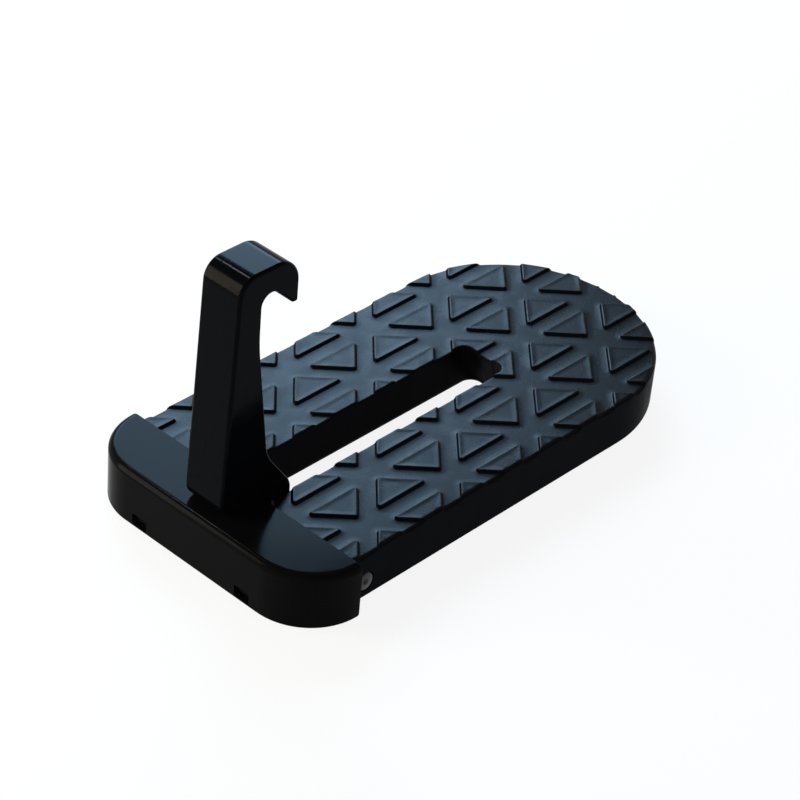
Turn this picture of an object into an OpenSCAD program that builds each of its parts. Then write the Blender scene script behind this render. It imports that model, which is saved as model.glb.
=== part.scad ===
// Folding door-latch step: a cast pedal whose hook arm hangs on the striker bar of a car door.
// X runs from the bumper to the round tip, Y runs across the pedal and Z is up. The origin is at the
// middle of the footprint, on the surface that the step rests on. Lengths are in millimetres.

/* [Pedal] */
// Overall length, from the bumper's front face to the round tip
overall_l = 153.5; // [146:0.5:175]
// Width of the pedal, which is also the diameter of its round tip
pedal_w = 74; // [68:0.5:84]
// Thickness of the pedal, from the sunken floor of the tread to the underside
pedal_t = 13.2; // [12.4:0.1:16]
// Rounding of the pedal's long edges, top and bottom
edge_r = 1; // [0.4:0.1:2]

/* [Slot] */
// Free length left in the slot past the folded hook, for a fingertip
finger_gap = 6.4; // [3:0.1:10]
// Radius of the slot's corners in plan
slot_corner_r = 2.6; // [1:0.1:5]
// Chamfer round the slot's lower edge
slot_flare = 1.4; // [0.5:0.1:2.5]

/* [Tread] */
// Row spacing of the triangle lattice, which is half the base of one cell
tread_pitch = 14.5; // [11:0.5:18]
// Width of the channels between the raised triangles
tread_channel = 4.2; // [3:0.1:6]
// Height of the raised triangles
tread_relief = 0.75; // [0.4:0.05:1.5]
// How far each side of a triangle leans in from its foot to its top
tread_draft = 0.4; // [0.1:0.1:0.9]
// Distance from the round tip to the last lattice node on the centre line
tread_node_inset = 6.9; // [0:0.1:14]

/* [Underside] */
// Thickness of the skin under the tread
skin_t = 5; // [3.5:0.1:7]
// Thickness of the outer wall round the pockets
rim_wall = 4; // [3:0.1:6]
// Thickness of the wall round the slot
slot_wall = 3.6; // [2.5:0.1:6]
// Thickness of the ribs between the pockets
rib_t = 3; // [2:0.1:5]
// Radius of the pockets' corners in plan
pocket_corner_r = 2; // [0.5:0.1:4]
// Number of ribs across the underside
rib_count = 4; // [2:1:6]
// Solid metal kept in front of the pin, before the first pocket
pivot_block = 11; // [8:0.5:18]

/* [Bumper] */
// Length of the bumper along the pedal
bumper_l = 17.5; // [15.5:0.5:22]
// Radius of the bumper's front corners in plan
bumper_corner_r = 17; // [12:0.5:17.5]
// Thickness of the bumper's front and side walls
bumper_wall = 3.2; // [2:0.1:4]
// Height of the bumper's top above the floor of the tread
bumper_rise = 1.5; // [1:0.1:2.5]
// Height of the pedal's underside above the bumper's sole
bumper_foot = 1.1; // [0.6:0.1:2]
// Rounding of the bumper's upper edge
bumper_edge_r = 2; // [1:0.1:3]
// Rounding of the bumper's lower edge
bumper_sole_r = 0.8; // [0.3:0.1:1.5]
// Depth by which the pedal is stepped down inside the bumper, above and below
tongue_step = 0.8; // [0.4:0.1:1.5]
// Width of each window in the bumper's front wall
window_w = 5; // [3:0.1:7]
// Height of each window
window_h = 3.2; // [2.4:0.1:4]
// Height of the windows' lower edge above the bumper's sole
window_z = 0.9; // [0.9:0.1:1.2]
// Distance of each window's middle from the centre line
window_y = 18; // [12:0.5:20]
// Depth of each lug's face behind the bumper's front face
lug_recess = 1.1; // [0.6:0.1:1.6]

/* [Hook arm] */
// Width of the arm, across the slot
arm_w = 12.8; // [10:0.1:16]
// Height of the hook's top above the floor of the tread
arm_rise = 67.7; // [58:0.1:70]
// Distance from the pin's axis back to the heel
heel_back = 19; // [16:0.1:20]
// Distance from the pin's axis back to the crown of the hook
crown_back = 15.7; // [14:0.1:17]
// Distance from the pin's axis forward to the front of the nose
nose_reach = 3.1; // [1:0.1:4.6]
// Height of the nose, from the hook's top down to its tip
nose_drop = 12.8; // [11.5:0.1:15]
// Rounding of the heel's lower back edge, which rolls over the bumper as the arm folds
heel_r = 4; // [2:0.1:5]
// Rounding of the crown's back edge
crown_r = 5.3; // [2:0.1:7]
// Rounding of the nose's upper front edge
nose_r = 6.8; // [3:0.1:9]
// Thickness of the blunt tip of the nose
nose_tip = 1.5; // [1.2:0.1:2.2]
// Clear width between the tip of the nose and the shank
mouth_w = 10.1; // [8.5:0.1:11]
// Slope of the nose's inner face
ramp_angle = 43.5; // [38:0.5:50]
// Radius of the seat for the striker bar, at the top of the mouth
seat_r = 2.9; // [2:0.1:3.6]
// Distance from the hook's top down to the bend of the shank
knee_drop = 20.4; // [18:0.1:26]
// Height above the pin's axis at which the shank starts to flare forward into the toe
flare_h = 21.6; // [18:0.1:25]
// Distance from the pin's axis back to the shank's front face, where the flare starts
flare_back = 3.9; // [2:0.1:6]
// Radius of the bend into the flare
flare_r = 12; // [4:0.5:16]
// Height above the pin's axis at which the toe's front turns upright
toe_h = 9.9; // [8:0.1:12]
// Rounding of the toe's front
toe_r = 6; // [2:0.5:8]

/* [Pivot] */
// Diameter of the steel pin
pin_d = 5.5; // [4.5:0.1:6.2]
// Radius of the arm's round foot, about the pin
knuckle_r = 4.7; // [4.4:0.1:5.4]
// How far the rim of a friction washer lies inside the arm's round foot
washer_inset = 0.2; // [0.1:0.1:0.8]
// Thickness of each friction washer
washer_t = 0.7; // [0.4:0.1:1.5]

/* [Clearances] */
// Gap between the bumper and the pedal's tongue inside it
seat_gap = 0.1; // [0.05:0.05:0.3]
// Gap between the moving arm and the pedal or bumper beside it
swing_gap = 0.3; // [0.2:0.05:0.5]
// Gap between the heel and the top of the bumper when the arm stands up
heel_gap = 0.05; // [0:0.05:0.2]
// Gap on each side of each friction washer, towards the arm and towards the slot's wall
washer_gap = 0.05; // [0.02:0.01:0.1]
// Radial clearance of the pin in the pedal
pin_press_gap = 0.02; // [0.01:0.01:0.05]
// Radial clearance of the pin in the arm and the washers
pin_run_gap = 0.06; // [0.03:0.01:0.1]

/* [Hidden] */
$fn = 96;
// Overlap of pieces that are fused or cut, so that no face is shared
eps = 0.02;

half_w = pedal_w / 2;
front_x = -overall_l / 2;
tip_x = overall_l / 2;
tip_centre_x = tip_x - half_w;

pedal_z0 = bumper_foot;
pedal_z1 = pedal_z0 + pedal_t;
bumper_z1 = pedal_z1 + bumper_rise;
bumper_half_w = half_w + bumper_wall;
bumper_end_x = front_x + bumper_l;
// The full section of the pedal starts here, and the stepped tongue runs into the bumper
plate_x0 = bumper_end_x + seat_gap;
tongue_x0 = front_x + bumper_wall + seat_gap;
tongue_z0 = pedal_z0 + tongue_step;
tongue_t = pedal_t - 2 * tongue_step;
tongue_half_w = half_w - seat_gap;
tongue_corner_r = bumper_corner_r - bumper_wall - seat_gap;

pin_x = bumper_end_x + swing_gap + knuckle_r;
pin_z = pedal_z0 + swing_gap + knuckle_r;
pin_chamfer = 0.5;
washer_y = (arm_w + washer_t) / 2 + washer_gap;

// Heights in the arm's own frame, which has its origin on the pin's axis
arm_top = pedal_z1 - pin_z + arm_rise;
heel_z = bumper_z1 - pin_z + heel_gap;
nose_z = arm_top - nose_drop;
knee_z = arm_top - knee_drop;
flare_x = -flare_back;
nose_inner_x = nose_reach - nose_tip;
shank_x = nose_inner_x - mouth_w;
// The sharp corner where the nose's inner face would meet the shank
mouth_z = nose_z + (nose_inner_x - shank_x) * tan(ramp_angle);
seat_half_angle = (90 - ramp_angle) / 2;
seat_dist = seat_r / sin(seat_half_angle);
seat_x = shank_x + seat_dist * sin(seat_half_angle);
seat_z = mouth_z - seat_dist * cos(seat_half_angle);
nose_tip_r = 0.45 * nose_tip;
knee_r = 60;

// The slot takes the folded arm with a washer on each side of it
slot_w = arm_w + 2 * washer_t + 4 * washer_gap;
slot_x0 = pin_x - knuckle_r - swing_gap;
slot_x1 = pin_x + arm_top + finger_gap;

pocket_x0 = pin_x + pivot_block;
pocket_x1 = tip_x - rim_wall;
pocket_depth = pedal_t - skin_t;

// A cell is a right isosceles triangle, one pitch high, with its base on a lattice row
tread_x0 = tip_x - tread_node_inset;
cell_inradius = tread_pitch * (sqrt(2) - 1);
island_inradius = cell_inradius - tread_channel / 2;
tread_rows = ceil(half_w / tread_pitch);
tread_cols = ceil(overall_l / tread_pitch);

pedal_colour = [0.07, 0.075, 0.085];
arm_colour = [0.05, 0.05, 0.06];
bumper_colour = [0.1, 0.1, 0.11];
steel_colour = [0.62, 0.62, 0.64];
washer_colour = [0.22, 0.22, 0.23];

function unit(v) = v / norm(v);

// The short way round from one angle to another
function turn(from, to) = let (d = to - from) d > 180 ? d - 360 : d < -180 ? d + 360 : d;

// Points of the arc of radius r that rounds the corner b between its neighbours a and c
function corner_arc(a, b, c, r, steps) =
    r == 0 ? [b] :
    let (
        u = unit(a - b),
        v = unit(c - b),
        half = acos(u * v) / 2,
        centre = b + unit(u + v) * r / sin(half),
        p = b + u * r / tan(half) - centre,
        q = b + v * r / tan(half) - centre,
        start = atan2(p[1], p[0]),
        sweep = turn(start, atan2(q[1], q[0]))
    )
    [for (i = [0 : steps]) centre + r * [cos(start + sweep * i / steps), sin(start + sweep * i / steps)]];

// A closed outline whose corners [x, y, radius] are rounded
function rounded(corners, steps = 10) =
    let (n = len(corners), at = function (i) [corners[i % n][0], corners[i % n][1]])
    [for (i = [0 : n - 1]) each corner_arc(at(i + n - 1), at(i), at(i + 1), corners[i][2], steps)];

// Plan of the pedal in front of the bumper: a straight run and a half-round tip
module pedal_plan(inset = 0) {
    translate([plate_x0, -half_w + inset])
        square([tip_centre_x - plate_x0, pedal_w - 2 * inset]);
    translate([tip_centre_x, 0])
        circle(r = half_w - inset);
}

// Half of the pedal's cross-section, from the centre line out to its rounded edge
module half_section() {
    square([half_w - edge_r, pedal_t]);
    translate([0, edge_r])
        square([half_w, pedal_t - 2 * edge_r]);
    for (z = [edge_r, pedal_t - edge_r])
        translate([half_w - edge_r, z])
            circle(r = edge_r);
}

module plate() {
    translate([plate_x0, 0, pedal_z0])
        rotate([90, 0, 90])
            linear_extrude(tip_centre_x - plate_x0) {
                half_section();
                mirror([1, 0])
                    half_section();
            }
    translate([tip_centre_x, 0, pedal_z0])
        rotate_extrude()
            half_section();
}

// A rectangle from x0 to x1 whose two corners at x0 are round
module round_front_plan(x0, x1, half, r) {
    intersection() {
        translate([x0, -half])
            square([x1 - x0, 2 * half]);
        union() {
            translate([x0 + r, -half])
                square([x1 - x0, 2 * half]);
            translate([x0, -half + r])
                square([x1 - x0, 2 * (half - r)]);
            for (side = [-1, 1])
                translate([x0 + r, side * (half - r)])
                    circle(r = r);
        }
    }
}

// The stepped end of the pedal that the bumper is pushed over, with two lugs for its windows
module tongue() {
    translate([0, 0, tongue_z0])
        linear_extrude(tongue_t)
            round_front_plan(tongue_x0, plate_x0 + edge_r, tongue_half_w, tongue_corner_r);
    for (side = [-1, 1])
        translate([front_x + lug_recess, side * window_y - window_w / 2 + seat_gap, tongue_z0])
            cube([bumper_wall, window_w - 2 * seat_gap, window_z + window_h - seat_gap - tongue_z0]);
}

// Plan of the slot, grown by a margin on every side
module slot_plan(grow = 0) {
    translate([slot_x0 - grow, -slot_w / 2 - grow])
        square([slot_x1 - slot_x0 + grow - slot_corner_r, slot_w + 2 * grow]);
    translate([slot_x0 - grow, -slot_w / 2 + slot_corner_r])
        square([slot_x1 - slot_x0 + 2 * grow, slot_w - 2 * slot_corner_r]);
    for (side = [-1, 1])
        translate([slot_x1 - slot_corner_r, side * (slot_w / 2 - slot_corner_r)])
            circle(r = slot_corner_r + grow);
}

// The slot through the pedal, with a chamfer round its lower edge
module slot_cut() {
    slot_l = slot_x1 - slot_x0;
    mid_x = (slot_x0 + slot_x1) / 2;
    translate([0, 0, pedal_z0 - eps])
        linear_extrude(pedal_t + tread_relief + 1)
            slot_plan();
    translate([mid_x, 0, pedal_z0 - eps])
        linear_extrude(slot_flare, slices = 1, scale = [
            slot_l / (slot_l + 2 * slot_flare), slot_w / (slot_w + 2 * slot_flare)
        ])
            translate([-mid_x, 0])
                slot_plan(slot_flare);
}

// One raised triangle at a lattice node, leaning in towards its top; flip turns its apex to -Y
module island(flip) {
    foot = island_inradius;
    reach = foot * (sqrt(2) + 1);
    top_scale = (foot - tread_draft) / foot;
    mirror([0, flip ? 1 : 0])
        translate([0, 0, pedal_z1 - edge_r]) {
            linear_extrude(edge_r + eps)
                polygon([[-reach, -foot], [reach, -foot], [0, foot * sqrt(2)]]);
            translate([0, 0, edge_r])
                linear_extrude(tread_relief, slices = 1, scale = top_scale)
                    polygon([[-reach, -foot], [reach, -foot], [0, foot * sqrt(2)]]);
        }
}

// The lattice of raised triangles: apexes point to +Y and -Y by turns, mirrored about the centre line
module tread() {
    for (side = [0, 1], row = [0 : tread_rows - 1], col = [-tread_cols : 1]) {
        flip = (col + row) % 2 != 0;
        base_y = flip ? (row + 1) * tread_pitch - cell_inradius : row * tread_pitch + cell_inradius;
        mirror([0, side])
            translate([tread_x0 + (col + 1) * tread_pitch, base_y])
                island(flip);
    }
}

// Pockets that lighten the underside, with ribs left between them
module pockets() {
    rib_step = (pocket_x1 - pocket_x0) / (rib_count + 1);
    translate([0, 0, pedal_z0 - eps])
        linear_extrude(pocket_depth + eps)
            offset(r = pocket_corner_r, $fn = 32)
                offset(delta = -pocket_corner_r)
                    difference() {
                        intersection() {
                            pedal_plan(rim_wall);
                            translate([pocket_x0, -half_w])
                                square([pocket_x1 - pocket_x0, pedal_w]);
                        }
                        slot_plan(slot_wall);
                        for (i = [1 : rib_count])
                            translate([pocket_x0 + i * rib_step - rib_t / 2, -half_w])
                                square([rib_t, pedal_w]);
                        translate([slot_x1, -rib_t / 2])
                            square([tip_x - slot_x1, rib_t]);
                    }
}

module pin_bore(gap, length) {
    translate([pin_x, length / 2, pin_z])
        rotate([90, 0, 0])
            cylinder(r = pin_d / 2 + gap, h = length);
}

module pedal() {
    color(pedal_colour)
        difference() {
            union() {
                plate();
                tongue();
                intersection() {
                    tread();
                    linear_extrude(pedal_z1 + tread_relief + 1)
                        pedal_plan();
                }
            }
            slot_cut();
            pockets();
            pin_bore(pin_press_gap, pedal_w + 2);
        }
}

// Outline of the bumper's wall, from radius zero at the corner's centre out to its rounded edges
module bumper_section(reach) {
    height = bumper_z1;
    square([reach - bumper_edge_r, height]);
    translate([0, bumper_sole_r])
        square([reach, height - bumper_sole_r - bumper_edge_r]);
    translate([reach - bumper_edge_r, height - bumper_edge_r])
        circle(r = bumper_edge_r);
    square([reach - bumper_sole_r, bumper_edge_r]);
    translate([reach - bumper_sole_r, bumper_sole_r])
        circle(r = bumper_sole_r);
}

module bumper_solid() {
    straight_half = bumper_half_w - bumper_corner_r;
    corner_x = front_x + bumper_corner_r;
    // Front wall and the block behind it
    translate([corner_x, -straight_half, 0])
        rotate([90, 0, 180])
            linear_extrude(2 * straight_half)
                bumper_section(bumper_corner_r);
    // Round front corners
    for (side = [-1, 1])
        translate([corner_x, side * straight_half, 0])
            rotate_extrude()
                bumper_section(bumper_corner_r);
    // The straight stretch of each side, which the open end cuts square
    translate([corner_x, 0, 0])
        rotate([90, 0, 90])
            linear_extrude(bumper_l) {
                bumper_section(bumper_half_w);
                mirror([1, 0])
                    bumper_section(bumper_half_w);
            }
}

module bumper() {
    color(bumper_colour)
        difference() {
            intersection() {
                bumper_solid();
                translate([front_x - 1, -bumper_half_w - 1, 0])
                    cube([bumper_l + 1, 2 * bumper_half_w + 2, bumper_z1]);
            }
            translate([0, 0, tongue_z0 - seat_gap])
                linear_extrude(tongue_t + 2 * seat_gap)
                    round_front_plan(front_x + bumper_wall, bumper_end_x + 1, half_w, tongue_corner_r + seat_gap);
            for (side = [-1, 1])
                translate([front_x - 1, side * window_y - window_w / 2, window_z])
                    cube([bumper_wall + 2, window_w, window_h]);
        }
}

// Side view of the arm about the pin's axis: heel, crown, nose, mouth, shank and toe
module arm_profile() {
    polygon(rounded([
        [-knuckle_r, heel_z, 0.4],
        [-heel_back, heel_z, heel_r],
        [-crown_back, arm_top, crown_r],
        [nose_reach, arm_top, nose_r],
        [nose_reach, nose_z, nose_tip_r],
        [nose_inner_x, nose_z, nose_tip_r],
        [shank_x, mouth_z, seat_r],
        [shank_x, knee_z, knee_r],
        [flare_x, flare_h, flare_r],
        [knuckle_r, toe_h, toe_r],
        [knuckle_r, -knuckle_r, knuckle_r - eps],
        [-knuckle_r, -knuckle_r, knuckle_r - eps]
    ]));
}

module hook_arm() {
    color(arm_colour)
        difference() {
            translate([pin_x, arm_w / 2, pin_z])
                rotate([90, 0, 0])
                    linear_extrude(arm_w)
                        arm_profile();
            pin_bore(pin_run_gap, arm_w + 2);
            // The seat is cut again as a true round wall
            translate([pin_x + seat_x, arm_w / 2 + 1, pin_z + seat_z])
                rotate([90, 0, 0])
                    cylinder(r = seat_r, h = arm_w + 2);
        }
}

// Dowel pin, flush with both sides of the pedal, with a small chamfer at each end
module pivot_pin() {
    r = pin_d / 2;
    color(steel_colour)
        translate([pin_x, half_w, pin_z])
            rotate([90, 0, 0])
                rotate_extrude()
                    polygon([
                        [0, 0], [r - pin_chamfer, 0], [r, pin_chamfer],
                        [r, pedal_w - pin_chamfer], [r - pin_chamfer, pedal_w], [0, pedal_w]
                    ]);
}

// Friction washer between the arm and one wall of the slot
module washer(side) {
    color(washer_colour)
        translate([pin_x, side * washer_y + washer_t / 2, pin_z])
            rotate([90, 0, 0])
                difference() {
                    cylinder(r = knuckle_r - washer_inset, h = washer_t);
                    translate([0, 0, -1])
                        cylinder(r = pin_d / 2 + pin_run_gap, h = washer_t + 2);
                }
}

module washer_left() {
    washer(1);
}

module washer_right() {
    washer(-1);
}

pedal();
bumper();
hook_arm();
pivot_pin();
washer_left();
washer_right();
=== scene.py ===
"""Folding door-latch step: finish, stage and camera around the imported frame.

Lengths are in metres, in the frame's own axes: X runs from the bumper to the round tip, Y across the
pedal and Z up. An outline is an array of points with one outward normal each, and every surface is
worked out as whole arrays.
"""
import math

import bpy
import numpy as np
from mathutils import Euler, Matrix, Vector
from mathutils.geometry import delaunay_2d_cdt


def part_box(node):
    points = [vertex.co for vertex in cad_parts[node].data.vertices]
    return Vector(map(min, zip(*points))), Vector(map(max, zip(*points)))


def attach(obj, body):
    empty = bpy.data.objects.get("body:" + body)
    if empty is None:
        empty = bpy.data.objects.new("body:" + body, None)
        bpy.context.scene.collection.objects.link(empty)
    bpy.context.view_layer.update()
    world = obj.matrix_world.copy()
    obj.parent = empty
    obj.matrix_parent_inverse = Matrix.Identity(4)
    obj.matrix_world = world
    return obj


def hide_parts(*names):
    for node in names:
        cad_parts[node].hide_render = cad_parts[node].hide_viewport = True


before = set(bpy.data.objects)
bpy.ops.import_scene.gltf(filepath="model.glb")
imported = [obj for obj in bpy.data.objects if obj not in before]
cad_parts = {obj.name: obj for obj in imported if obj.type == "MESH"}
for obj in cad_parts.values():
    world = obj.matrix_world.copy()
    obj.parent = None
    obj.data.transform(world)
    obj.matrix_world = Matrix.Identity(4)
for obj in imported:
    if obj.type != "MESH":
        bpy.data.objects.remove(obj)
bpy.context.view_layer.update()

bl_info = {
    "name": "Door-latch step",
    "version": (1, 0, 0),
    "blender": (4, 5, 0),
    "location": "View3D > Sidebar > Latch step",
    "description": "Builds the treaded pedal, bumper, hook arm and pivot of a folding door-latch step",
    "category": "Add Mesh",
}

MM = 0.001
FIT = 0.1 * MM  # Gap between the pedal's stepped end and the bumper round it
PEDAL_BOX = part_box("pedal")
BUMPER_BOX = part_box("bumper")
ARM_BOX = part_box("hook_arm")
PIN_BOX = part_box("pivot_pin")
WASHER_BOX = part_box("washer_left")


def length(name, description, millimetres):
    """A length property, in metres, with its default given in millimetres."""
    return bpy.props.FloatProperty(
        name=name, description=description, default=millimetres * MM, min=0.0, precision=5, unit="LENGTH"
    )


def framed(name, description, metres):
    """A length or coordinate property whose default is read from the frame."""
    return bpy.props.FloatProperty(
        name=name, description=description, default=metres, precision=5, unit="LENGTH"
    )


def colour(name, description, rgb):
    """A linear colour property."""
    return bpy.props.FloatVectorProperty(
        name=name, description=description, default=rgb, size=3, min=0.0, max=1.0, subtype="COLOR"
    )


def place(name, description, x, y, z):
    """A point, in metres, with its default given in millimetres."""
    return bpy.props.FloatVectorProperty(
        name=name, description=description, default=(x * MM, y * MM, z * MM), subtype="XYZ", unit="LENGTH"
    )


class TreadSizes(bpy.types.PropertyGroup):
    """Sizes of the lattice of raised triangles"""
    pitch: length("Row pitch", "Height of one triangular cell, and half of its base", 14.5)
    channel: length("Channel", "Width of the channels between the triangles", 4.2)
    relief: length("Relief", "Height of the triangles above the channels", 0.75)
    draft: length("Draft", "How far each side leans in from its foot to its top", 0.4)
    corner: length("Corner", "Radius of the triangles' corners at the foot", 0.95)
    foot_fillet: length("Foot fillet", "Radius of the fillet round each foot", 0.35)
    top_round: length("Top round", "Rounding of the triangles' top edges", 0.5)
    sweep: length("Sweep", "How far from a foot the channel starts to rise to it", 1.3)
    rise: length("Rise", "How far the channel rises to a foot", 0.07)
    dish: length("Dish", "Width of the slope from a triangle's edge down to its flat middle", 1.3)
    dip: length("Dip", "Depth of the flat middle below the edge", 0.09)
    node_inset: length("Node inset", "From the tip to the last lattice node on the centre line", 6.9)


class PedalSizes(bpy.types.PropertyGroup):
    """Sizes of the cast pedal"""
    tip_x: framed("Tip", "Where the round tip ends", PEDAL_BOX[1].x)
    front_x: framed("Front", "Where the full section starts, behind the bumper", BUMPER_BOX[1].x + FIT)
    half_width: framed("Half width", "Half of the pedal's width", PEDAL_BOX[1].y)
    base_z: framed("Underside", "Height of the underside", PEDAL_BOX[0].z)
    edge: length("Edge", "Rounding of the long edges", 1.0)
    slot_half: framed("Slot half width", "Half of the slot's width", WASHER_BOX[1].y + 0.05 * MM)
    slot_end_x: length("Slot end", "Where the slot ends at the tread", 27.2)
    slot_lean: length("Slot lean", "How far the slot's end leans out down to the underside", 4.2)
    slot_corner: length("Slot corner", "Radius of the slot's corners in plan", 2.6)
    slot_top_edge: length("Slot top edge", "Rounding of the slot's upper edge", 0.4)
    slot_flare: length("Slot flare", "Rounding of the slot's lower edge", 2.2)
    skin: length("Skin", "Thickness of the skin over the pockets", 5.0)
    rim_wall: length("Rim wall", "Wall between the pockets and the outside", 4.0)
    slot_wall: length("Slot wall", "Wall between the pockets and the slot", 3.6)
    rib: length("Rib", "Thickness of the ribs", 3.0)
    pocket_corner: length("Pocket corner", "Radius of the pockets' corners in plan", 2.0)
    pocket_start: length("Pivot block", "From the pin's axis to the first pocket", 11.0)
    tongue_step: length("Tongue step", "Step between the pedal and its tongue", 0.8)


class BumperSizes(bpy.types.PropertyGroup):
    """Sizes of the rubber bumper"""
    corner: length("Corner", "Radius of the front corners in plan", 17.0)
    wall: length("Wall", "Thickness of the front and side walls", 3.2)
    top_edge: length("Top edge", "Rounding of the upper edge", 2.0)
    sole_edge: length("Sole edge", "Rounding of the lower edge", 0.8)
    mouth_edge: length("Mouth edge", "Rounding of the edge beside the tread", 0.35)
    window_width: length("Window width", "Width of the two snap windows", 5.0)
    window_height: length("Window height", "Height of the snap windows", 3.2)
    window_base: length("Window base", "Height of the windows above the sole", 0.9)
    window_offset: length("Window offset", "From the centre line to the middle of a window", 18.0)
    lug_recess: length("Lug recess", "Depth of the tongue's lugs behind the front face", 1.1)


class ArmSizes(bpy.types.PropertyGroup):
    """Sizes of the hook arm, measured from the pin's axis"""
    heel_back: length("Heel back", "From the pin back to the heel", 19.0)
    crown_back: length("Crown back", "From the pin back to the crown", 15.7)
    nose_reach: length("Nose reach", "From the pin forward to the nose", 3.1)
    nose_drop: length("Nose drop", "From the hook's top down to the nose's tip", 12.8)
    nose_tip: length("Nose tip", "Thickness of the blunt tip", 1.5)
    mouth: length("Mouth", "Clear width between nose and shank", 10.1)
    seat: length("Seat", "Radius of the seat for the striker bar", 2.9)
    knee_drop: length("Knee drop", "From the hook's top down to the bend of the shank", 20.4)
    flare_height: length("Flare height", "Height above the pin where the shank flares into the toe", 21.6)
    flare_back: length("Flare back", "From the pin back to the shank's front at the flare", 3.9)
    flare_round: length("Flare bend", "Radius of the bend into the flare", 12.0)
    toe_height: length("Toe height", "Height above the pin where the toe's front turns upright", 9.9)
    knuckle: length("Knuckle", "Radius of the round foot", 4.7)
    heel_round: length("Heel round", "Rounding of the heel", 4.0)
    crown_round: length("Crown round", "Rounding of the crown's back edge", 5.3)
    nose_round: length("Nose round", "Rounding of the nose's front edge", 6.8)
    knee_round: length("Knee round", "Radius of the shank's bend", 60.0)
    toe_round: length("Toe round", "Rounding of the toe's front", 6.0)
    edge: length("Edge", "Rounding of the long edges", 0.9)
    ramp: bpy.props.FloatProperty(
        name="Ramp", description="Slope of the nose's inner face",
        default=math.radians(43.5), subtype="ANGLE"
    )


class FinishSettings(bpy.types.PropertyGroup):
    """Colours of the finishes and the floor"""
    pedal_paint: colour("Pedal paint", "Powder coat of the pedal", (0.003, 0.0034, 0.0046))
    # Same black coat as the pedal, set darker: painted shade on the arm's upright faces
    arm_paint: colour("Arm paint", "Powder coat of the hook arm", (0.0016, 0.0018, 0.0024))
    bumper_rubber: colour("Bumper rubber", "Moulded rubber of the bumper", (0.003, 0.003, 0.0034))
    # The pin's steel is set far darker than bare steel: painted shade of the dark surroundings it reflects
    pin_steel: colour("Pin steel", "Dull steel of the pin", (0.035, 0.034, 0.037))
    washer_nylon: colour("Washer nylon", "Dark nylon of the washers", (0.03, 0.03, 0.032))
    floor: colour("Floor", "Plain pale floor", (0.88, 0.88, 0.885))


class StageSettings(bpy.types.PropertyGroup):
    """Camera and light"""
    target: place("Target", "Point at the middle of the view", -3.377, 1.334, 14.3)
    distance: length("Distance", "From the camera to the target", 705.15)
    azimuth: bpy.props.FloatProperty(
        name="Azimuth", description="Direction of view in plan, from +Y towards +X",
        default=math.radians(49.273), subtype="ANGLE"
    )
    elevation: bpy.props.FloatProperty(
        name="Elevation", description="Angle at which the camera looks down",
        default=math.radians(35.624), subtype="ANGLE"
    )
    roll: bpy.props.FloatProperty(
        name="Roll", description="Turn of the camera about its own axis",
        default=math.radians(-5.273), subtype="ANGLE"
    )
    lens: bpy.props.FloatProperty(name="Lens", description="Focal length in mm", default=124.9)
    fill_low: bpy.props.FloatProperty(
        name="Low fill", description="Radiance of the pale walls round the stage", default=1.0, min=0.0
    )
    fill_high: bpy.props.FloatProperty(
        name="High fill", description="Radiance of the ceiling", default=0.2, min=0.0
    )
    lift: bpy.props.FloatProperty(
        name="Floor lift", description="How far the floor is lifted to plain white, over its shadow",
        default=0.88, min=0.0, max=1.0, subtype="FACTOR"
    )
    box_place: place("Softbox", "Place of the softbox behind the object", 410, 635, 495)
    box_width: length("Softbox width", "Width of the softbox", 540)
    box_height: length("Softbox height", "Height of the softbox", 390)
    box_roll: bpy.props.FloatProperty(
        name="Softbox roll", description="Turn of the softbox about its own axis",
        default=math.radians(20), subtype="ANGLE"
    )
    box_radiance: bpy.props.FloatProperty(
        name="Softbox radiance", description="Radiance of the softbox", default=18.0, min=0.0
    )
    box_colour: colour("Softbox colour", "Colour of the softbox", (0.435, 0.715, 1.0))
    strip_place: place("Warm strip", "Place of the low warm strip beside the object", -310, 260, 150)
    strip_width: length("Strip width", "Width of the warm strip", 160)
    strip_height: length("Strip height", "Height of the warm strip", 290)
    strip_radiance: bpy.props.FloatProperty(
        name="Strip radiance", description="Radiance of the warm strip", default=12.0, min=0.0
    )
    strip_colour: colour("Strip colour", "Colour of the warm strip", (1.0, 0.9, 0.68))
    glint_place: place("Glint", "Place of the small lamp above the object", 20, 530, 800)
    glint_size: length("Glint size", "Side of the small lamp", 60)
    glint_radiance: bpy.props.FloatProperty(
        name="Glint radiance", description="Radiance of the small lamp", default=80.0, min=0.0
    )
    glint_colour: colour("Glint colour", "Colour of the small lamp", (0.83, 0.92, 1.0))


GROUPS = {
    "latch_tread": TreadSizes,
    "latch_pedal": PedalSizes,
    "latch_bumper": BumperSizes,
    "latch_arm": ArmSizes,
    "latch_finish": FinishSettings,
    "latch_stage": StageSettings,
}


# Outlines and profiles

def rotated(vectors, angles):
    """Plane vectors turned anticlockwise: (x cos a - y sin a, x sin a + y cos a)."""
    c, s = np.cos(angles), np.sin(angles)
    x, y = vectors[..., 0], vectors[..., 1]
    return np.stack([x * c - y * s, x * s + y * c], -1)


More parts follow.
